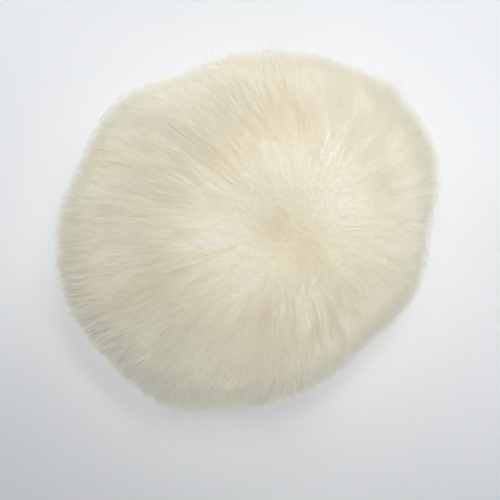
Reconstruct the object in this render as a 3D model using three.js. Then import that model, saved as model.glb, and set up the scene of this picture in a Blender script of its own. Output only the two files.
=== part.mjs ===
// A cream fur pom pom, lying on its flat spot, in millimetres, +Z up.
// It is one closed solid of the form that the ends of its pile make.
// The origin is the middle of its outline, on the surface that it rests on.

import * as THREE from "three";
import { mergeVertices } from "three/addons/utils/BufferGeometryUtils.js";

// Driving dimensions.
const WIDTH = 80; // along X, over the pile
const DEPTH = 75.5; // along Y, over the pile
const HEIGHT = 46; // along Z, over the pile
const RIM_HEIGHT = 22; // level of the widest outline
const FOOT_SINK = 1.1; // how far the round underside is pressed flat
const FULLNESS = 0.76; // 1 is an ellipse in section, less is fuller

// The outline seen from above: sixteen radii, evenly spaced, anticlockwise from +X.
const RIM_RADII = [
  38.2, 43.2, 42.6, 39.4, 37.2, 34.4, 38.0, 36.8,
  39.0, 40.0, 39.4, 39.8, 36.8, 35.6, 34.4, 37.2,
];

// The whorl that the pile lies away from, on top and off to one side.
const WHORL_X = 6.5;
const WHORL_Y = -4;
const HOLLOW_DEPTH = 1.8;
const HOLLOW_SPREAD = 0.16; // share of the rim's radius

// Broad locks of pile, as soft ridges that run from the whorl to the foot.
const LOCKS = [
  { count: 9, height: 0.006, turn: 0.6, sway: 0.5 },
  { count: 14, height: 0.007, turn: 2.1, sway: -0.9 },
];

// The middle of the rim's radii, and how fast the outline rounds off away from the rim.
const MEAN_RADIUS = RIM_RADII.reduce((sum, radius) => sum + radius, 0) / RIM_RADII.length;
const OUTLINE_FADE = 3;

// How finely the form is faceted.
const SEGMENTS = 96;
const ROWS = 36;

const FUR_COLOUR = 0xe6dfcb;
const FUR_ROUGHNESS = 0.95;

// Rim radius at an angle: a smooth closed curve through the sixteen radii.
function rimRadius(angle) {
  const count = RIM_RADII.length;
  const place = ((angle / (2 * Math.PI)) * count + count) % count;
  const index = Math.floor(place);
  const t = place - index;
  const radius = (k) => RIM_RADII[(index + k + count) % count];
  const slopeIn = (radius(1) - radius(-1)) / 2;
  const slopeOut = (radius(2) - radius(0)) / 2;
  const rise = radius(1) - radius(0);
  const bend = 3 * rise - 2 * slopeIn - slopeOut;
  const twist = slopeIn + slopeOut - 2 * rise;
  return radius(0) + slopeIn * t + bend * t * t + twist * t * t * t;
}

// The outline's unevenness is full at the rim and fades towards the whorl and the foot.
function outlineRadius(angle, spread) {
  return MEAN_RADIUS + (rimRadius(angle) - MEAN_RADIUS) * spread ** OUTLINE_FADE;
}

// Height of the locks at an angle round and an angle down, as a share of the radius.
// They fade out at the whorl and at the foot.
function lockHeight(angle, down) {
  const fade = Math.sin(down) ** 2;
  let height = 0;
  for (const lock of LOCKS) {
    height += lock.height * Math.cos(lock.count * angle + lock.turn + lock.sway * down);
  }
  return height * fade;
}

// A point on the form, for an angle round the upright axis and an angle down from the top.
function formPoint(angle, down) {
  const spread = Math.sin(down) ** FULLNESS;
  const lift = Math.sign(Math.cos(down)) * Math.abs(Math.cos(down)) ** FULLNESS;
  const radius = outlineRadius(angle, spread) * spread * (1 + lockHeight(angle, down));
  const above = lift > 0;
  const lean = above ? 1 - spread : 0;
  const reach = above ? HEIGHT - RIM_HEIGHT : RIM_HEIGHT + FOOT_SINK;
  const hollow = above ? HOLLOW_DEPTH * Math.exp(-((spread / HOLLOW_SPREAD) ** 2)) : 0;
  return [
    radius * Math.cos(angle) + WHORL_X * lean,
    radius * Math.sin(angle) + WHORL_Y * lean,
    Math.max(0, RIM_HEIGHT + reach * lift - hollow),
  ];
}

// A unit ball whose points are moved onto the form, sized and centred on the origin.
function furGeometry() {
  const ball = new THREE.SphereGeometry(1, SEGMENTS, ROWS);
  ball.rotateX(Math.PI / 2);
  ball.deleteAttribute("normal");
  ball.deleteAttribute("uv");
  const form = mergeVertices(ball, 1e-5);
  const points = form.getAttribute("position");
  for (let i = 0; i < points.count; i++) {
    const angle = Math.atan2(points.getY(i), points.getX(i));
    const down = Math.acos(THREE.MathUtils.clamp(points.getZ(i), -1, 1));
    points.setXYZ(i, ...formPoint(angle, down));
  }
  form.computeBoundingBox();
  const { min, max } = form.boundingBox;
  form.translate(-(min.x + max.x) / 2, -(min.y + max.y) / 2, 0);
  form.scale(WIDTH / (max.x - min.x), DEPTH / (max.y - min.y), HEIGHT / max.z);
  form.computeVertexNormals();
  return form;
}

// The pile, as one fabric solid.
function furBall() {
  const material = new THREE.MeshStandardMaterial({
    color: FUR_COLOUR,
    roughness: FUR_ROUGHNESS,
    metalness: 0,
  });
  const mesh = new THREE.Mesh(furGeometry(), material);
  mesh.name = "fur_ball";
  return mesh;
}

const pomPom = new THREE.Group();
pomPom.add(furBall());

export default pomPom;
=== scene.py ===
"""A cream fur pom pom: a dense soft pile round a gathered ball, lying on a pale surface."""

import math

import bpy
import numpy as np
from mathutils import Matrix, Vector


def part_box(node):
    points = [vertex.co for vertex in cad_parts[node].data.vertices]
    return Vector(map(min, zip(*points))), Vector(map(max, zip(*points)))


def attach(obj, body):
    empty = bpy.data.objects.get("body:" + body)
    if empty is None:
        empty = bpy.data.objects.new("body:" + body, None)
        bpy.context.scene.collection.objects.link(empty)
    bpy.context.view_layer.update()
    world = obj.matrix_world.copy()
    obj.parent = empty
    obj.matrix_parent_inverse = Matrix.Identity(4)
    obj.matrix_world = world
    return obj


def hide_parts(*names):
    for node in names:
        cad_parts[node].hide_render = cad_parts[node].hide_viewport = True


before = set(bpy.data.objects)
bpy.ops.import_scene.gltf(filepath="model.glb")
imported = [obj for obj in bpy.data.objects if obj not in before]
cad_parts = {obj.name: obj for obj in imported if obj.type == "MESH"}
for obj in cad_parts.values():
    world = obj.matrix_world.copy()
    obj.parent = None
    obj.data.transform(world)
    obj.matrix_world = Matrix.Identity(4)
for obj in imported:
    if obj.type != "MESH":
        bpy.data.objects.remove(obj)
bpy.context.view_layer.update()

bl_info = {
    "name": "Fur Pom Pom",
    "version": (1, 0, 0),
    "blender": (4, 5, 0),
    "location": "3D View > Sidebar > Pom Pom",
    "description": "Grows a dense, parted fur pile on the form of a packed pom pom",
    "category": "Add Mesh",
}

BALL_LOW, BALL_HIGH = (np.array(corner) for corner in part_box("fur_ball"))
MILLIMETRE = 0.001

# The form that the ends of the pile make, as the frame's solid has it, in millimetres.
RIM_RADII = np.array(
    [38.2, 43.2, 42.6, 39.4, 37.2, 34.4, 38.0, 36.8, 39.0, 40.0, 39.4, 39.8, 36.8, 35.6, 34.4, 37.2]
)
HEIGHT = 46
RIM_HEIGHT = 22
FOOT_SINK = 1.1
FULLNESS = 0.76
WHORL = (6.5, -4)
HOLLOW_DEPTH = 1.8
HOLLOW_SPREAD = 0.16
OUTLINE_FADE = 3
FORM_SEGMENTS = 96
FORM_ROWS = 36
POLE_GAP = 0.004  # the least angle between a hair and the poles

# The middle that the pile grows away from.
CORE = np.array([0.0, 0.0, RIM_HEIGHT * MILLIMETRE])

# The parting runs from the whorl towards the back right, in metres.
PARTING = np.array([0.0016, 0.0016])
MESS = 0.8  # how far chance turns a hair at the parting, in radians
MESS_REACH = 0.0045  # how far from the parting the mess reaches
SWAY = 0.20  # how far chance turns any hair, in radians
FINE_DRIFT = 0.35  # the fine currents' strength beside the broad ones'
LAY_AT_PARTING = 0.35  # the lay at the parting, as a share of the lay further off
LAY_REACH = 0.010  # how far from the parting the lay is whole
PROPPED = 0.8  # the share of the lay that is lost below the rim
DRIFT_CURVE = 1.3  # a hair drifts with this power of the way along it
RISE_CURVE = 1.7  # what is left of its rise goes with this power of the way to its tip

# Where a change over the pile begins and ends, as angles down from the top in radians.
TOWARDS_RIM = (0.9, 1.4)
AT_RIM = (1.0, 1.45)
TIPS_THIN = (1.0, 1.5)
PROPPED_BAND = (1.05, 1.65)
CLUMPED_FRONT = (0.35, 1.2)
WARM_TOP = (0.5, 1.4)
FOOT_BAND = (1.6, 2.3)
WISP_BAND = (1.2, 1.6)

FRONT_TURN = math.radians(15)  # how far the clumped front is turned towards the left
FRONT_EDGE = (0.35, 0.85)  # where the front begins and is whole, 0 at the back and 1 at the front
CLUMPED_LEAST = 0.08
CLUMPED_MORE_IN_FRONT = 1.3
CLUMPED_AT_RIM = 0.6
MOST_PULL = 0.95
THIN_FOOT = 0.22  # how many hairs grow under the foot, as a share of those elsewhere

# Roots and tips, as shares of the way from the core to the pile's end.
LEADER_DEPTH = 0.02  # how far under the down's surface a lock or tuft is rooted
ROOT_DEPTH = 0.01  # the least a hair is
ROOT_SPREAD = 0.03
LEADER_TIP = 0.985
LOCK_UNEVEN = 0.03
TUFT_UNEVEN = 0.05
TUFT_UNEVEN_RIM = 0.10  # more of it at the rim
LONGEST_TIP = 1.012
SHORTEST_TIP = 0.97
SHORTER_AT_RIM = 0.04
UNDER_REACH = 0.97
STRAY_REACH = 1.015
WISP_LIE = 0.35
WISP_TUFTS = 8  # wisps gather into one tuft for every so many of the pile's

# A hair: three sides, and how far along it its rings lie.
SIDES = 3
GUARD_STATIONS = np.array([0.0, 0.34, 0.72, 1.0])
UNDER_STATIONS = np.array([0.0, 0.55, 1.0])
TAPER = 0.45  # how much of its width a hair loses over its outer half
UPWARD_FACING = np.array([0.0, 0.0, 1.0])  # hairs at the rim turn their flat backs up to the light
HAIR_TWIST = 0.3  # how far a hair's flat back is turned from facing out, in radians
UV_STRIP = 1 / 256
UV_MARGIN = 0.02
UV_NAME = "OFBake"
CHUNK = 4096

# The matted down's own surface.
DOWN_SEGMENTS = 96
DOWN_ROWS = 56
LUMP_HEIGHT = 0.0012  # as a share of the way out

# Tone, 0 palest to 1 warmest.
PLAIN_TONE = 0.12
# painted shade: the warmer tone round the whorl stands in for the shade seen deep in the parted pile
WHORL_SHADE_TONE = 0.55
WHORL_SHADE_TONE_REACH = 0.014
TOP_TONE = 0.22
BROAD_PATCHES = 0.10
FINE_PATCHES = 0.05
TONE_CHANCE = 0.08
WHORL_SHADE_REACH = 0.0085  # how far from the whorl the painted shade of the parting reaches
# painted shade: how strongly hairs near the parting take the darker, warmer whorl colour
WHORL_SHADE_STRENGTH = 0.8
SEE_THROUGH = 0.45  # the share of the light on a hair that goes through it

# The top lamps, aimed at their pool of light: name, place, share of the power, radius.
TOP_LAMPS = (
    ("top_left_lamp", (-0.04, 0.02, 0.58), 0.25, 0.06),
    ("top_right_lamp", (0.16, 0.02, 0.58), 0.25, 0.06),
    ("top_front_lamp", (0.06, -0.08, 0.58), 0.25, 0.06),
    ("top_back_lamp", (0.06, 0.12, 0.58), 0.25, 0.06),
)
# The side lamps, aimed at the ball from low down.
SIDE_LAMPS = (
    ("back_right_lamp", (0.43, 0.745, 0.20), 1.8, 0.18),
    ("back_left_lamp", (-0.745, 0.43, 0.20), 1.6, 0.18),
    ("front_right_lamp", (0.43, -0.745, 0.20), 0.9, 0.18),
)
SIDE_POOL_RADIUS = 0.50
POOL = (0.041, 0.091, 0.0)  # the middle of the top lamps' pool of light
POOL_RADIUS = 0.178
POOL_EDGE = 0.4  # how much of a pool fades towards its edge
SURFACE_HALF = 4.0
TARGET_OFFSET = (0.0004, -0.0038)  # where the camera looks, beside the middle

# The arc of the back rim where wisps stand out, in degrees.
WISPS_START = 40
WISPS_WIDTH = 85

# Warmer patches of the pile, in metres from the middle: place, reach across and back, strength.
WARM_PATCHES = (
    (0.0070, 0.0150, (0.0035, 0.0080), 0.30),
    (-0.0210, 0.0090, (0.0080, 0.0040), 0.20),
    (-0.0150, -0.0130, (0.0120, 0.0030), 0.15),
)

# Six sectors of pile round the whorl: name and the angle at which each begins, in degrees.
SECTORS = (
    ("pile_right", -30),
    ("pile_back_right", 30),
    ("pile_back_left", 90),
    ("pile_left", 150),
    ("pile_front_left", 210),
    ("pile_front_right", 270),
)
SECTOR_WIDTH = 60


# ---- the form ----


def round_curve(values, share):
    """A smooth closed curve through evenly spaced values: between two neighbours it is the cubic
    whose slope at each value is half the difference of the values on either side."""
    count = len(values)
    place = np.mod(share, 1.0) * count
    index = np.floor(place).astype(int) % count
    t = place - np.floor(place)
    before, here, after, beyond = (values[(index + k) % count] for k in (-1, 0, 1, 2))
    slope_in = (after - before) / 2
    slope_out = (beyond - here) / 2
    rise = after - here
    bend = 3 * rise - 2 * slope_in - slope_out
    twist = slope_in + slope_out - 2 * rise
    return here + slope_in * t + bend * t**2 + twist * t**3


def raw_form(angle, down):
    """The form in millimetres, before it is centred. The radius is the outline's radius times the
    sine of the angle down to the power FULLNESS; the outline's unevenness fades away from the rim;
    the height follows the cosine in the same way; above the rim the rings slide towards the whorl,
    and the foot is pressed flat. The solid's faint locks are left to the pile's own."""
    spread = np.sin(down) ** FULLNESS
    cosine = np.cos(down)
    lift = np.sign(cosine) * np.abs(cosine) ** FULLNESS
    mean = RIM_RADII.mean()
    outline = mean + (round_curve(RIM_RADII, angle / math.tau) - mean) * spread**OUTLINE_FADE
    radius = outline * spread
    above = lift > 0
    lean = np.where(above, 1 - spread, 0)
    reach = np.where(above, HEIGHT - RIM_HEIGHT, RIM_HEIGHT + FOOT_SINK)
    hollow = np.where(above, HOLLOW_DEPTH * np.exp(-((spread / HOLLOW_SPREAD) ** 2)), 0)
    return np.stack(
        (
            radius * np.cos(angle) + WHORL[0] * lean,
            radius * np.sin(angle) + WHORL[1] * lean,
            np.maximum(0, RIM_HEIGHT + reach * lift - hollow),
        ),
        axis=-1,
    )


def grid(segments, rows):
    """Angles round and angles down at the crossings of a grid on the form, each (segments, rows)."""
    around = np.arange(segments) * math.tau / segments
    down = np.linspace(0, math.pi, rows)
    return np.meshgrid(around, down, indexing="ij")


FORM_POINTS = raw_form(*grid(FORM_SEGMENTS, FORM_ROWS + 1)).reshape(-1, 3)
FORM_LOW, FORM_HIGH = FORM_POINTS.min(0), FORM_POINTS.max(0)


def pile_end(angle, down):
    """A point where the pile ends, in metres: the raw form, stretched to fill the solid's box."""
    share = (raw_form(angle, down) - FORM_LOW) / (FORM_HIGH - FORM_LOW)
    return BALL_LOW + share * (BALL_HIGH - BALL_LOW)


def whorl_place():
    """The point where the pile parts, at the top of the form."""
    return pile_end(np.array(0.0), np.array(0.0))


def within(angle, down, share):
    """A point at a share of the way from the core to the pile's end."""
    return CORE + share[..., None] * (pile_end(angle, down) - CORE)


# ---- small array helpers ----


def ease(x, low, high):
    """0 below low, 1 above high, and a smooth S between."""
    t = np.clip((x - low) / (high - low), 0, 1)
    return t * t * (3 - 2 * t)


def outward(points):
    """The way out of the ball at points: the gradient of an ellipsoid about the core."""
    half = (BALL_HIGH - BALL_LOW) / 2
    return unit((points - CORE) / half**2)


def unit(vectors):
    """Vectors at length one."""
    return vectors / np.maximum(np.linalg.norm(vectors, axis=-1, keepdims=True), 1e-12)


def waves(points, seed, wavelength):
    """A smooth random field over points, about -1 to 1: the mean of eight sine waves in random
    directions, each with its own phase."""
    rng = np.random.default_rng(seed)
    directions = unit(rng.normal(size=(8, 3))) * rng.uniform(0.7, 1.4, (8, 1))
    phases = rng.uniform(0, math.tau, 8)
    turns = points @ directions.T * (math.tau / wavelength) + phases
    return np.sin(turns).mean(-1) * 2


def nearest(points, targets):
    """For each point, the index of the nearest target, in chunks of rows."""
    lengths = (targets**2).sum(1)
    found = [
        np.argmin(lengths - 2 * points[start : start + CHUNK] @ targets.T, axis=1)
        for start in range(0, len(points), CHUNK)
    ]
    return np.concatenate(found)


# ---- where hairs grow ----


def scatter(rng, count, start=0.0, width=360.0):
    """Random places on the form, as angles round and down, spread evenly over its area, with fewer
    under the foot: a cell of a grid is drawn by its area, and a place within it evenly."""
    columns, rows = 72, 90
    around = np.radians(start) + np.radians(width) * np.arange(columns + 1) / columns
    down = np.linspace(0.0, math.pi, rows + 1)
    corners = pile_end(*np.meshgrid(around, down, indexing="ij"))
    along = corners[1:, :-1] - corners[:-1, :-1]
    across = corners[:-1, 1:] - corners[:-1, :-1]
    middle = (down[1:] + down[:-1]) / 2
    area = np.linalg.norm(np.cross(along, across), axis=-1)
    area = area * (1 - (1 - THIN_FOOT) * ease(middle, *FOOT_BAND))
    cell = rng.choice(columns * rows, count, p=(area / area.sum()).ravel())
    column = cell // rows + rng.random(count)
    row = cell % rows + rng.random(count)
    angle = np.radians(start) + np.radians(width) * column / columns
    return angle, np.clip(row * math.pi / rows, POLE_GAP, math.pi - POLE_GAP)


def coat_share(down, settings):
    """How far out the matted down reaches: closest to the pile's end on top, deeper at the rim."""
    return settings.coat_share - settings.rim_depth * ease(down, *TOWARDS_RIM)


def from_parting(points):
    """Level vectors to points from the nearest point of the parting."""
    offset = points[..., :2] - whorl_place()[:2]
    along = np.clip(offset @ PARTING / (PARTING @ PARTING), 0, 1)
    return offset - along[..., None] * PARTING


def hair_paths(rng, angle, down, stations, settings, root_share, tip_share, lie=1.0):
    """Points along each hair, (hairs, stations, 3). On a flat map, where a place's distance from
    the middle is its angle down, a hair drifts straight away from the parting by its lay, turned
    aside by a slow field and, close to the parting, by chance. Its lay is short at the parting,
    longest on the shoulder and least at the rim. Meanwhile the hair rises fast from its root share
    and then bends over."""
    places = down[:, None] * np.stack((np.cos(angle), np.sin(angle)), axis=-1)
    roots = within(angle, down, root_share)
    away = from_parting(roots)
    distance = np.linalg.norm(away, axis=-1)
    heading = np.arctan2(away[:, 1], away[:, 0])
    stray = MESS * np.exp(-((distance / MESS_REACH) ** 2))
    heading += settings.drift * (waves(roots, 11, 0.030) + FINE_DRIFT * waves(roots, 12, 0.011))
    heading += (stray + SWAY) * rng.normal(size=len(angle))
    propped = 1 - PROPPED * ease(down, *PROPPED_BAND)
    near_parting = LAY_AT_PARTING + (1 - LAY_AT_PARTING) * ease(distance, 0.0, LAY_REACH)
    lay = lie * settings.lay * near_parting * propped
    lay = lay * rng.uniform(0.8, 1.2, len(angle))
    step = lay[:, None] * np.stack((np.cos(heading), np.sin(heading)), axis=-1)
    track = places[:, None] + step[:, None] * stations[None, :, None] ** DRIFT_CURVE
    angles = np.arctan2(track[..., 1], track[..., 0])
    downs = np.clip(np.linalg.norm(track, axis=-1), 0.0, math.pi)
    rise = 1 - (1 - stations[None, :]) ** RISE_CURVE
    shares = root_share[:, None] + (tip_share - root_share)[:, None] * rise
    return within(angles, downs, shares)


def gather(paths, leaders, owner, pull, stations):
    """Hairs drawn towards their leader's path, not at all at the root and by pull at the tip."""
    weight = (pull[:, None] * stations[None, :] ** DRIFT_CURVE)[..., None]
    return paths * (1 - weight) + leaders[owner] * weight


def clumping(angle, down):
    """How strongly the pile clumps at a place: hardly at all on top, more at the rim, and
    most at the front rim."""
    front = 0.5 - 0.5 * np.sin(angle + FRONT_TURN)
    front = ease(front, *FRONT_EDGE) * ease(down, *CLUMPED_FRONT)
    at_rim = CLUMPED_AT_RIM * ease(down, *AT_RIM)
    return np.maximum(CLUMPED_LEAST + CLUMPED_MORE_IN_FRONT * front, at_rim)


def tip_shares(rng, count, low, high):
    """How far out each hair ends, as a share of the form: mostly near high, thinning to low."""
    return high - (high - low) * rng.random(count) ** 2


def tufts_of(stations, settings, thinned):
    """The paths of the tufts' leaders, drawn towards the locks' leaders. They come from one fixed
    seed, so they are the same for every sector."""
    rng = np.random.default_rng(5)
    angle, down = scatter(rng, settings.locks)
    root = coat_share(down, settings) - LEADER_DEPTH
    tip = LEADER_TIP + LOCK_UNEVEN * (rng.random(settings.locks) - 0.5)
    locks = hair_paths(rng, angle, down, stations, settings, root, tip)

    count = settings.tufts // thinned
    angle, down = scatter(rng, count)
    root = coat_share(down, settings) - LEADER_DEPTH
    uneven = TUFT_UNEVEN + TUFT_UNEVEN_RIM * ease(down, *TOWARDS_RIM)
    tip = LEADER_TIP + uneven * (rng.random(count) - 0.6)
    tufts = hair_paths(rng, angle, down, stations, settings, root, tip)
    pull = settings.lock_pull * clumping(angle, down) * (0.5 + rng.random(count))
    return gather(tufts, locks, nearest(tufts[:, 0], locks[:, 0]), pull, stations)


def tufted(seed, angle, down, stations, settings, reach=1.0, lie=1.0, thinned=1):
    """Hair paths gathered into tufts, with a little frizz that grows towards the tip. Reach
    stretches the hairs, lie scales how far they lean, and thinned makes the tufts fewer."""
    rng = np.random.default_rng(seed)
    tufts = tufts_of(stations, settings, thinned)
    count = len(angle)
    root = coat_share(down, settings) - ROOT_DEPTH - ROOT_SPREAD * rng.random(count)
    shortest = SHORTEST_TIP - SHORTER_AT_RIM * ease(down, *TIPS_THIN)
    tip = reach * tip_shares(rng, count, shortest, LONGEST_TIP)
    paths = hair_paths(rng, angle, down, stations, settings, root, tip, lie)
    owner = nearest(paths[:, 0], tufts[:, 0])
    pull = settings.tuft_pull * clumping(angle, down) * (0.6 + 0.6 * rng.random(count))
    paths = gather(paths, tufts, owner, np.clip(pull, 0, MOST_PULL), stations)

    frizz = rng.normal(size=paths.shape) * (settings.frizz * stations**1.2)[None, :, None]
    frizz[:, -1] *= 1.3
    paths = paths + frizz
    paths[..., 2] = np.maximum(paths[..., 2], BALL_LOW[2] + settings.hair_width / 2)
    return paths


# ---- meshes ----


def hair_faces(rings):
    """Corners and stations of one hair's triangles: a fan at the root, bands between the rings and
    a fan at the tip. Each corner is (vertex, place round in sides, station)."""
    tip = 1 + rings * SIDES
    corners = []
    for side in range(SIDES):
        after = (side + 1) % SIDES
        corners.append(((0, side + 0.5, 0), (1 + after, side + 1, 1), (1 + side, side, 1)))
        for ring in range(rings - 1):
            here = 1 + ring * SIDES
            above = here + SIDES
            low, high = ring + 1, ring + 2
            corners.append(
                ((here + side, side, low), (here + after, side + 1, low), (above + side, side, high))
            )
            corners.append(
                (
                    (here + after, side + 1, low),
                    (above + after, side + 1, high),
                    (above + side, side, high),
                )
            )
        last = 1 + (rings - 1) * SIDES
        corners.append(
            ((last + side, side, rings), (last + after, side + 1, rings), (tip, side + 0.5, rings + 1))
        )
    return np.array(corners)


def hair_arrays(paths, radii, tones, stations, turn):
    """Vertices, triangles and UVs of tapered three-sided hairs. Round each inner station lies a
    ring at the hair's radius there, in the plane across the path; the root and the tip are points.
    In the UV map a hair is a narrow upright strip at its tone, from the root below to the tip."""
    hairs, count, _ = paths.shape
    rings = count - 2
    tangent = unit(paths[:, 2:] - paths[:, :-2])
    facing = outward(paths[:, 1:-1]) + UPWARD_FACING
    across = unit(np.cross(tangent, facing))
    upward = np.cross(tangent, across)
    around = turn[:, None] + np.arange(SIDES) * math.tau / SIDES
    cosine, sine = np.cos(around)[:, None, :, None], np.sin(around)[:, None, :, None]
    spoke = across[:, :, None, :] * cosine + upward[:, :, None, :] * sine
    ring = paths[:, 1:-1, None, :] + spoke * radii[:, :, None, None]
    vertices = np.concatenate(
        (paths[:, :1], ring.reshape(hairs, rings * SIDES, 3), paths[:, -1:]), axis=1
    )
    pattern = hair_faces(rings)
    per_hair = vertices.shape[1]
    faces = pattern[None, :, :, 0].astype(np.int64) + np.arange(hairs)[:, None, None] * per_hair
    strip = (pattern[..., 1] / SIDES - 0.5) * UV_STRIP
    u = tones[:, None, None] + strip[None]
    v = np.broadcast_to(stations[pattern[..., 2].astype(int)][None], u.shape)
    uv = np.stack((u, v), axis=-1)
    return vertices.reshape(-1, 3), faces.reshape(-1, 3), uv.reshape(-1, 2)


def make_mesh(name, vertices, faces, uv=None, smooth=False):
    """One object from whole arrays of vertices, triangles and a UV for each corner."""
    mesh = bpy.data.meshes.new(name)
    mesh.vertices.add(len(vertices))
    mesh.vertices.foreach_set("co", np.ascontiguousarray(vertices, np.float32).ravel())
    mesh.loops.add(faces.size)
    mesh.loops.foreach_set("vertex_index", faces.astype(np.int32).ravel())
    mesh.polygons.add(len(faces))
    mesh.polygons.foreach_set("loop_start", np.arange(0, faces.size, 3, dtype=np.int32))
    mesh.polygons.foreach_set("use_smooth", np.full(len(faces), smooth))
    mesh.update(calc_edges=True)
    if uv is not None:
        layer = mesh.uv_layers.new(name=UV_NAME)
        layer.uv.foreach_set("vector", np.ascontiguousarray(uv, np.float32).ravel())
    if mesh.validate():
        raise RuntimeError(f"{name} has faulty faces")
    piece = bpy.data.objects.new(name, mesh)
    bpy.context.scene.collection.objects.link(piece)
    return piece


def closed_surface(points):
    """Vertices and triangles of a closed surface from its grid, (segments, rows, 3), whose first
    and last rows are drawn together into the two poles."""
    segments, rows, _ = points.shape
    inner = points[:, 1:-1].reshape(-1, 3)
    vertices = np.concatenate((points[:, 0].mean(0)[None], inner, points[:, -1].mean(0)[None]))
    ring = rows - 2
    here = 1 + np.arange(segments) * ring
    after = np.roll(here, -1)
    steps = np.arange(ring - 1)[None, :]
    a, b = here[:, None] + steps, after[:, None] + steps
    bands = np.stack((a, a + 1, b + 1, a, b + 1, b), axis=-1).reshape(-1, 3)
    top = np.stack((np.zeros_like(here), here, after), axis=-1)
    last = np.full_like(here, len(vertices) - 1)
    bottom = np.stack((last, after + ring - 1, here + ring - 1), axis=-1)
    return vertices, np.concatenate((top, bands, bottom))


def join_arrays(*parts):
    """Several (vertices, faces, uv) as one."""
    offsets = np.cumsum([0] + [len(part[0]) for part in parts[:-1]])
    vertices, faces, uvs = zip(*parts)
    faces = [triangles + offset for triangles, offset in zip(faces, offsets)]
    return tuple(np.concatenate(arrays) for arrays in (vertices, faces, uvs))


def tone_of(rng, roots, down):
    """Each hair's tone: warm round the whorl, as a painted shade of the parted pile, and over the top,
    falling away with the square of the distance, with the warm patches, slow random ones and a little
    chance."""
    distance = np.linalg.norm(from_parting(roots), axis=-1)
    # painted shade: the warmth round the whorl stands in for the shade deep in the parted pile
    warm = WHORL_SHADE_TONE * np.exp(-((distance / WHORL_SHADE_TONE_REACH) ** 2))
    warm = warm + TOP_TONE * (1 - ease(down, *WARM_TOP))
    for x, y, reach, strength in WARM_PATCHES:
        away = np.linalg.norm((roots[:, :2] - (x, y)) / reach, axis=-1)
        warm = warm + strength * np.exp(-(away**2))
    patches = BROAD_PATCHES * waves(roots, 21, 0.034) + FINE_PATCHES * waves(roots, 22, 0.013)
    tone = PLAIN_TONE + warm + patches + TONE_CHANCE * rng.normal(size=len(down))
    return np.clip(tone, UV_MARGIN, 1 - UV_MARGIN)


def grow(seed, angle, down, stations, settings, width, reach=1.0, lie=1.0, thinned=1):
    """The arrays of one lot of hairs, each of its own width and tapered over its outer half."""
    rng = np.random.default_rng(seed + 1)
    paths = tufted(seed, angle, down, stations, settings, reach, lie, thinned)
    inner = stations[1:-1]
    taper = np.where(inner < 0.5, 1.0, 1.0 - TAPER * (inner - 0.5) / 0.5)
    radii = 0.5 * width * taper[None, :] * (0.75 + 0.5 * rng.random((len(angle), 1)))
    turn = math.pi / 2 + rng.normal(size=len(angle)) * HAIR_TWIST
    return hair_arrays(paths, radii, tone_of(rng, paths[:, 0], down), stations, turn)


# ---- shader expressions ----


class Socket:
    """A shader value that takes part in Python expressions: each operation adds a Math node."""

    def __init__(self, shader, output):
        self.shader = shader
        self.output = output

    def math(self, operation, *values):
        node = self.shader.node(
            "ShaderNodeMath", {"operation": operation}, dict(enumerate((self, *values)))
        )
        return Socket(self.shader, node.outputs[0])

    def __add__(self, other):
        return self.math("ADD", other)

    __radd__ = __add__

    def __sub__(self, other):
        return self.math("SUBTRACT", other)

    def __rsub__(self, other):
        return (self * -1) + other

    def __mul__(self, other):
        return self.math("MULTIPLY", other)

    __rmul__ = __mul__

    def __pow__(self, other):
        return self.math("POWER", other)


class Shader:
    """A material's or the room's nodes under construction."""

    def __init__(self, owner):
        owner.use_nodes = True
        self.owner = owner
        self.tree = owner.node_tree
        self.tree.nodes.clear()

    def node(self, kind, settings=None, sockets=None):
        """Adds a node: its settings first, then each socket's value or link."""
        node = self.tree.nodes.new(kind)
        for name, value in (settings or {}).items():
            setattr(node, name, value)
        for name, value in (sockets or {}).items():
            socket = node.inputs[name]
            if isinstance(value, Socket):
                value = value.output
            if isinstance(value, bpy.types.NodeSocket):
                self.tree.links.new(value, socket)
            else:
                socket.default_value = value
        return node

    def value(self, output):
        return Socket(self, output)

    def mix(self, factor, first, second):
        """The colour that is first where factor is 0 and second where it is 1."""
        node = self.node(
            "ShaderNodeMix",
            {"data_type": "RGBA", "clamp_factor": True},
            {0: factor, 6: first, 7: second},
        )
        return node.outputs[2]

    def finish(self, surface, kind="ShaderNodeOutputMaterial"):
        self.node(kind, sockets={"Surface": surface})
        return self.owner


def new_shader(name):
    return Shader(bpy.data.materials.new(name))


def rgba(colour):
    """A colour property as the four numbers of a socket."""
    return (*colour, 1.0)


def parting_shade_mask(shader):
    """The mask of the painted shade at the parting: one at the whorl, falling away with the square of the
    distance from it.
    """
    where = shader.node("ShaderNodeTexCoord").outputs["Object"]
    offset = shader.node(
        "ShaderNodeVectorMath", {"operation": "DISTANCE"}, {0: where, 1: tuple(whorl_place())}
    )
    far = shader.value(offset.outputs["Value"]) * (1 / WHORL_SHADE_REACH)
    return (far * far * -1).math("EXPONENT")


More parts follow.
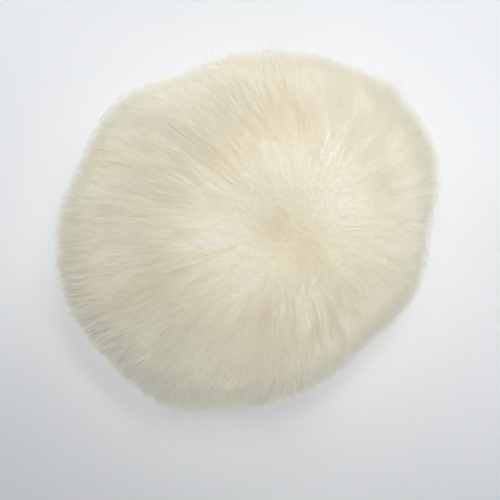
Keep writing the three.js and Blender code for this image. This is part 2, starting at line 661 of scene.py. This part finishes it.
def hair_material(colours):
    """Soft, pale, slightly see-through hair. The tone runs across the map and the hair's length up it:
    darker and warmer at the root as a painted shade of the deep pile, paler to the tip, with faint
    mottling along it; near the whorl a painted shade of the parting darkens it."""
    shader = new_shader("fur_hair")
    where = shader.node("ShaderNodeUVMap", {"uv_map": UV_NAME}).outputs["UV"]
    split = shader.node("ShaderNodeSeparateXYZ", sockets={"Vector": where})
    tone, along = shader.value(split.outputs["X"]), shader.value(split.outputs["Y"])
    stretch = shader.node(
        "ShaderNodeMapping", {"vector_type": "POINT"}, {"Vector": where, "Scale": (220, 5, 1)}
    )
    mottle = shader.node(
        "ShaderNodeTexNoise",
        {"noise_dimensions": "2D"},
        {"Vector": stretch.outputs["Vector"], "Scale": 1.0, "Detail": 2.0, "Roughness": 0.6},
    )
    grain = shader.value(mottle.outputs["Fac"]) - 0.5
    warmth = tone + grain * 0.35
    pale = shader.mix(warmth, rgba(colours.tip_pale), rgba(colours.tip_warm))
    # painted shade: the roots are darker and warmer than the tips, standing in for the shade deep in the
    # pile
    deep = shader.mix(warmth, rgba(colours.shaded_root_pale), rgba(colours.shaded_root_warm))
    # painted shade: near the whorl the hairs turn darker and warmer, standing in for the shade deep in
    # the parted pile
    near = parting_shade_mask(shader) * WHORL_SHADE_STRENGTH
    colour = shader.mix(near, shader.mix(along**0.8, deep, pale), rgba(colours.whorl))
    body = shader.node(
        "ShaderNodeBsdfPrincipled",
        sockets={
            "Base Color": colour,
            "Roughness": 0.9,
            "Specular IOR Level": 0.05,
        },
    )
    through = shader.node("ShaderNodeBsdfTranslucent", sockets={"Color": rgba(colours.glow)})
    both = shader.node(
        "ShaderNodeMixShader",
        sockets={0: SEE_THROUGH, 1: body.outputs["BSDF"], 2: through.outputs["BSDF"]},
    )
    return shader.finish(both.outputs["Shader"])


def undercoat_material(colours):
    """Matted down under the hair: fine felted noise in colour and bump, with a painted shade at the
    parting.
    """
    shader = new_shader("fur_undercoat")
    where = shader.node("ShaderNodeTexCoord").outputs["Object"]
    felt = shader.node(
        "ShaderNodeTexNoise", sockets={"Vector": where, "Scale": 900.0, "Detail": 4.0}
    )
    patch = shader.node(
        "ShaderNodeTexNoise", sockets={"Vector": where, "Scale": 90.0, "Detail": 2.0}
    )
    mask = shader.value(felt.outputs["Fac"]) * 0.6 + shader.value(patch.outputs["Fac"]) * 0.4
    spread = shader.mix(mask, rgba(colours.down_warm), rgba(colours.down_pale))
    # painted shade: near the whorl the down turns to the darker, warmer hollow colour, standing in for
    # the shade deep in the parted pile
    colour = shader.mix(parting_shade_mask(shader), spread, rgba(colours.hollow))
    bump = shader.node(
        "ShaderNodeBump",
        sockets={"Height": felt.outputs["Fac"], "Strength": 0.8, "Distance": 0.0006},
    )
    body = shader.node(
        "ShaderNodeBsdfPrincipled",
        sockets={
            "Base Color": colour,
            "Roughness": 0.9,
            "Sheen Weight": 0.3,
            "Normal": bump.outputs["Normal"],
        },
    )
    return shader.finish(body.outputs["BSDF"])


def floor_material(colour):
    """A matt white surface with the faintest cloudiness."""
    shader = new_shader("pale_surface")
    where = shader.node("ShaderNodeTexCoord").outputs["Object"]
    cloud = shader.node(
        "ShaderNodeTexNoise", sockets={"Vector": where, "Scale": 14.0, "Detail": 3.0}
    )
    shade = tuple(0.985 * c for c in colour)
    clouded = shader.mix(cloud.outputs["Fac"], rgba(colour), rgba(shade))
    body = shader.node(
        "ShaderNodeBsdfPrincipled", sockets={"Base Color": clouded, "Roughness": 0.7}
    )
    return shader.finish(body.outputs["BSDF"])


# ---- settings ----


def length_property(name, default, description):
    return bpy.props.FloatProperty(
        name=name, description=description, default=default, unit="LENGTH", precision=5
    )


def share_property(name, default, description):
    return bpy.props.FloatProperty(
        name=name, description=description, default=default, subtype="FACTOR"
    )


def count_property(name, default, description):
    return bpy.props.IntProperty(name=name, description=description, default=default, min=1)


def colour_property(name, default, description):
    return bpy.props.FloatVectorProperty(
        name=name, description=description, default=default, subtype="COLOR", min=0, max=1
    )


class PileSettings(bpy.types.PropertyGroup):
    """How the fur grows."""

    coat_share: share_property("Coat share", 0.965, "How far out the matted down under the hairs reaches")
    rim_depth: share_property("Rim depth", 0.035, "How much deeper the matted down lies at the rim")
    lay: bpy.props.FloatProperty(
        name="Lay",
        description="How far a hair drifts away from the whorl, as an angle",
        default=0.40,
        subtype="ANGLE",
    )
    drift: bpy.props.FloatProperty(
        name="Drift",
        description="How far slow currents in the pile turn a hair aside",
        default=0.045,
        subtype="ANGLE",
    )
    hair_width: length_property("Hair width", 0.000068, "Thickness of a long hair")
    down_width: length_property("Down width", 0.000055, "Thickness of a short hair")
    frizz: length_property("Frizz", 0.00015, "How far a hair's tip strays from its path")
    locks: count_property("Locks", 1500, "Number of broad locks over the whole ball")
    tufts: count_property("Tufts", 7000, "Number of small tufts over the whole ball")
    lock_pull: share_property("Lock pull", 0.30, "How strongly tufts gather into locks")
    tuft_pull: share_property("Tuft pull", 0.62, "How strongly hairs gather into tufts")
    long_hairs: count_property("Long hairs", 5300, "Long hairs in one sector")
    short_hairs: count_property("Short hairs", 14760, "Short hairs in one sector")
    stray_width: length_property("Stray width", 0.000055, "Thickness of a stray hair")
    stray_hairs: count_property("Stray hairs", 1500, "Fine hairs that stand past the pile")
    wisp_reach: share_property("Wisp reach", 0.18, "How far past the pile a wisp stands, as a share")
    wisp_hairs: count_property("Wisp hairs", 4200, "Fine hairs that stand out at the back rim")


class FurColours(bpy.types.PropertyGroup):
    """The fur's colours."""

    tip_pale: colour_property("Pale tip", (0.962, 0.965, 0.958), "Palest hair, at the tip")
    tip_warm: colour_property("Warm tip", (0.970, 0.932, 0.827), "Warmest hair, at the tip")
    # painted shade: the root colours are darker and warmer than the tips', standing in for the shade deep
    # in the pile
    shaded_root_pale: colour_property("Pale root", (0.948, 0.945, 0.890), "Palest hair, at the root")
    shaded_root_warm: colour_property("Warm root", (0.948, 0.876, 0.687), "Warmest hair, at the root")
    # painted shade: the hollow and whorl colours stand in for the shade deep in the parted pile
    hollow: colour_property("Hollow", (0.79, 0.70, 0.49), "The matted down where the pile parts")
    whorl: colour_property("Whorl", (0.813, 0.762, 0.487), "The hairs where the pile parts")
    glow: colour_property("Glow", (0.957, 0.947, 0.905), "Light that comes through a hair")
    down_pale: colour_property("Pale down", (0.952, 0.946, 0.897), "Palest matted down")
    down_warm: colour_property("Warm down", (0.952, 0.908, 0.785), "Warmest matted down")
    surface: colour_property("Surface", (0.87, 0.88, 0.90), "What the pom pom lies on")


class StageSettings(bpy.types.PropertyGroup):
    """Where it is looked at from, and the light."""

    elevation: bpy.props.FloatProperty(
        name="Camera elevation",
        description="The camera's angle above the surface",
        default=math.radians(80),
        subtype="ANGLE",
    )
    lens: bpy.props.FloatProperty(
        name="Lens", description="Focal length, in millimetres", default=70.0, min=10.0
    )
    view_width: length_property("View width", 0.1042, "Width of the view at the rim's height")
    lamp_power: bpy.props.FloatProperty(
        name="Lamp power",
        description="The top lamps' power together, in watts",
        default=5.75,
        min=0.0,
    )
    sky: bpy.props.FloatProperty(
        name="Room light", description="Strength of the even light", default=0.32, min=0.0
    )
    walls: bpy.props.FloatProperty(
        name="Wall light",
        description="Strength of the light added at the horizon",
        default=1.2,
        min=0.0,
    )


# ---- operators ----


def settle(piece, material):
    """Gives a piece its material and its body."""
    piece.data.materials.append(material)
    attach(piece, "root")
    return piece


def named_material(name, make):
    return bpy.data.materials.get(name) or make(bpy.context.scene.fur_colours)


class POMPOM_OT_undercoat(bpy.types.Operator):
    """Makes the gathered ball of matted down that the hairs grow from"""

    bl_idname = "pompom.undercoat"
    bl_label = "Undercoat"

    def execute(self, context):
        settings = context.scene.fur_pile
        around, down = grid(DOWN_SEGMENTS, DOWN_ROWS)
        roots = within(around, down, coat_share(down, settings))
        lumps = LUMP_HEIGHT * (waves(roots, 31, 0.006) + waves(roots, 32, 0.011))
        points = CORE + (roots - CORE) * (1 + lumps[..., None])
        piece = make_mesh("undercoat", *closed_surface(points), smooth=True)
        settle(piece, undercoat_material(context.scene.fur_colours))
        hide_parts("fur_ball")
        return {"FINISHED"}


class POMPOM_OT_pile(bpy.types.Operator):
    """Grows the pile, sector by sector round the whorl"""

    bl_idname = "pompom.pile"
    bl_label = "Pile"

    def execute(self, context):
        settings = context.scene.fur_pile
        material = named_material("fur_hair", hair_material)
        for number, (name, start) in enumerate(SECTORS):
            seed = 100 + 10 * number
            rng = np.random.default_rng(seed)
            long_ones = scatter(rng, settings.long_hairs, start, SECTOR_WIDTH)
            short_ones = scatter(rng, settings.short_hairs, start, SECTOR_WIDTH)
            arrays = join_arrays(
                grow(seed, *long_ones, GUARD_STATIONS, settings, settings.hair_width),
                grow(seed + 5, *short_ones, UNDER_STATIONS, settings, settings.down_width, UNDER_REACH),
            )
            settle(make_mesh(name, *arrays), material)
        return {"FINISHED"}


class POMPOM_OT_strays(bpy.types.Operator):
    """Grows the fine hairs that stand past the pile, most of them at the back"""

    bl_idname = "pompom.strays"
    bl_label = "Stray hairs"

    def execute(self, context):
        settings = context.scene.fur_pile
        material = named_material("fur_hair", hair_material)
        rng = np.random.default_rng(77)
        everywhere = scatter(rng, settings.stray_hairs)
        back = scatter(rng, settings.wisp_hairs, WISPS_START, WISPS_WIDTH)
        lowest, highest = WISP_BAND
        back = (back[0], lowest + (highest - lowest) * rng.random(settings.wisp_hairs))
        crowd = np.clip(0.3 + 1.3 * waves(pile_end(*back), 31, 0.011), 0.05, 1.0)
        reach = 1 + settings.wisp_reach * crowd * rng.random(settings.wisp_hairs)
        width = settings.stray_width
        arrays = join_arrays(
            grow(78, *everywhere, GUARD_STATIONS, settings, width, STRAY_REACH),
            grow(79, *back, GUARD_STATIONS, settings, width, reach, WISP_LIE, WISP_TUFTS),
        )
        settle(make_mesh("stray_hairs", *arrays), material)
        return {"FINISHED"}


def aim(thing, place, target):
    """Puts a lamp or camera at a place, looking at a target, with the frame's back upwards."""
    thing.location = place
    direction = Vector(target) - Vector(place)
    thing.rotation_euler = direction.to_track_quat("-Z", "Y").to_euler()


def spot(name, place, power, softness, target, radius):
    """A soft lamp whose round pool of light at its target fades towards its edge."""
    data = bpy.data.lights.new(name, "SPOT")
    data.energy = power
    data.shadow_soft_size = softness
    data.spot_size = 2 * math.atan(radius / math.dist(place, target))
    data.spot_blend = POOL_EDGE
    thing = bpy.data.objects.new(name, data)
    bpy.context.scene.collection.objects.link(thing)
    aim(thing, place, target)


def room_light(stage):
    """The room, brighter towards its walls: its strength is the even light, plus the wall light
    times the fourth power of one less the height of the direction looked in."""
    shader = Shader(bpy.data.worlds.new("room"))
    facing = shader.node("ShaderNodeTexCoord").outputs["Generated"]
    split = shader.node("ShaderNodeSeparateXYZ", sockets={"Vector": facing})
    height = shader.value(split.outputs["Z"]).math("MAXIMUM", 0.0)
    strength = (1 - height) ** 4 * stage.walls + stage.sky
    background = shader.node(
        "ShaderNodeBackground", sockets={"Color": (0.93, 0.96, 1.0, 1.0), "Strength": strength}
    )
    return shader.finish(background.outputs["Background"], "ShaderNodeOutputWorld")


class POMPOM_OT_stage(bpy.types.Operator):
    """Makes the pale surface, the soft light and the camera"""

    bl_idname = "pompom.stage"
    bl_label = "Stage"

    def execute(self, context):
        scene = context.scene
        stage = scene.pom_stage
        corners = np.array([(-1, -1, 0), (1, -1, 0), (1, 1, 0), (-1, 1, 0)]) * SURFACE_HALF
        floor = make_mesh("surface", corners, np.array([(0, 1, 2), (0, 2, 3)]))
        floor.data.materials.append(floor_material(scene.fur_colours.surface))

        for name, place, power, softness in TOP_LAMPS:
            spot(name, place, stage.lamp_power * power, softness, POOL, POOL_RADIUS)
        for name, place, power, softness in SIDE_LAMPS:
            spot(name, place, stage.lamp_power * power, softness, CORE, SIDE_POOL_RADIUS)

        scene.world = room_light(stage)

        data = bpy.data.cameras.new("camera")
        data.lens = stage.lens
        camera = bpy.data.objects.new("camera", data)
        scene.collection.objects.link(camera)
        scene.camera = camera
        target = np.array([*TARGET_OFFSET, CORE[2]])
        back = np.array([0.0, -math.cos(stage.elevation), math.sin(stage.elevation)])
        distance = stage.view_width * data.lens / data.sensor_width
        aim(camera, target + back * distance, target)
        data.clip_start, data.clip_end = 0.01, 10.0
        scene.view_settings.view_transform = "Standard"
        scene.cycles.filter_width = 1.9
        scene.cycles.max_bounces = 24
        scene.cycles.diffuse_bounces = 16
        scene.cycles.transmission_bounces = 16
        return {"FINISHED"}


class VIEW3D_PT_pompom(bpy.types.Panel):
    """The pom pom's sizes, colours and steps"""

    bl_idname = "VIEW3D_PT_pompom"
    bl_label = "Fur Pom Pom"
    bl_space_type = "VIEW_3D"
    bl_region_type = "UI"
    bl_category = "Pom Pom"

    def draw(self, context):
        layout = self.layout
        for operator in STEPS:
            layout.operator(operator.bl_idname)
        for owner in (context.scene.fur_pile, context.scene.fur_colours, context.scene.pom_stage):
            box = layout.box()
            for name in owner.__annotations__:
                box.prop(owner, name)


STEPS = (POMPOM_OT_undercoat, POMPOM_OT_pile, POMPOM_OT_strays, POMPOM_OT_stage)
CLASSES = (PileSettings, FurColours, StageSettings, *STEPS, VIEW3D_PT_pompom)


def register():
    for entry in CLASSES:
        bpy.utils.register_class(entry)
    bpy.types.Scene.fur_pile = bpy.props.PointerProperty(type=PileSettings)
    bpy.types.Scene.fur_colours = bpy.props.PointerProperty(type=FurColours)
    bpy.types.Scene.pom_stage = bpy.props.PointerProperty(type=StageSettings)


def unregister():
    del bpy.types.Scene.pom_stage
    del bpy.types.Scene.fur_colours
    del bpy.types.Scene.fur_pile
    for entry in reversed(CLASSES):
        bpy.utils.unregister_class(entry)


def main():
    """Registers the add-on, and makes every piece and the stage."""
    register()
    bpy.ops.pompom.undercoat()
    bpy.ops.pompom.pile()
    bpy.ops.pompom.strays()
    bpy.ops.pompom.stage()


if __name__ == "__main__":
    main()
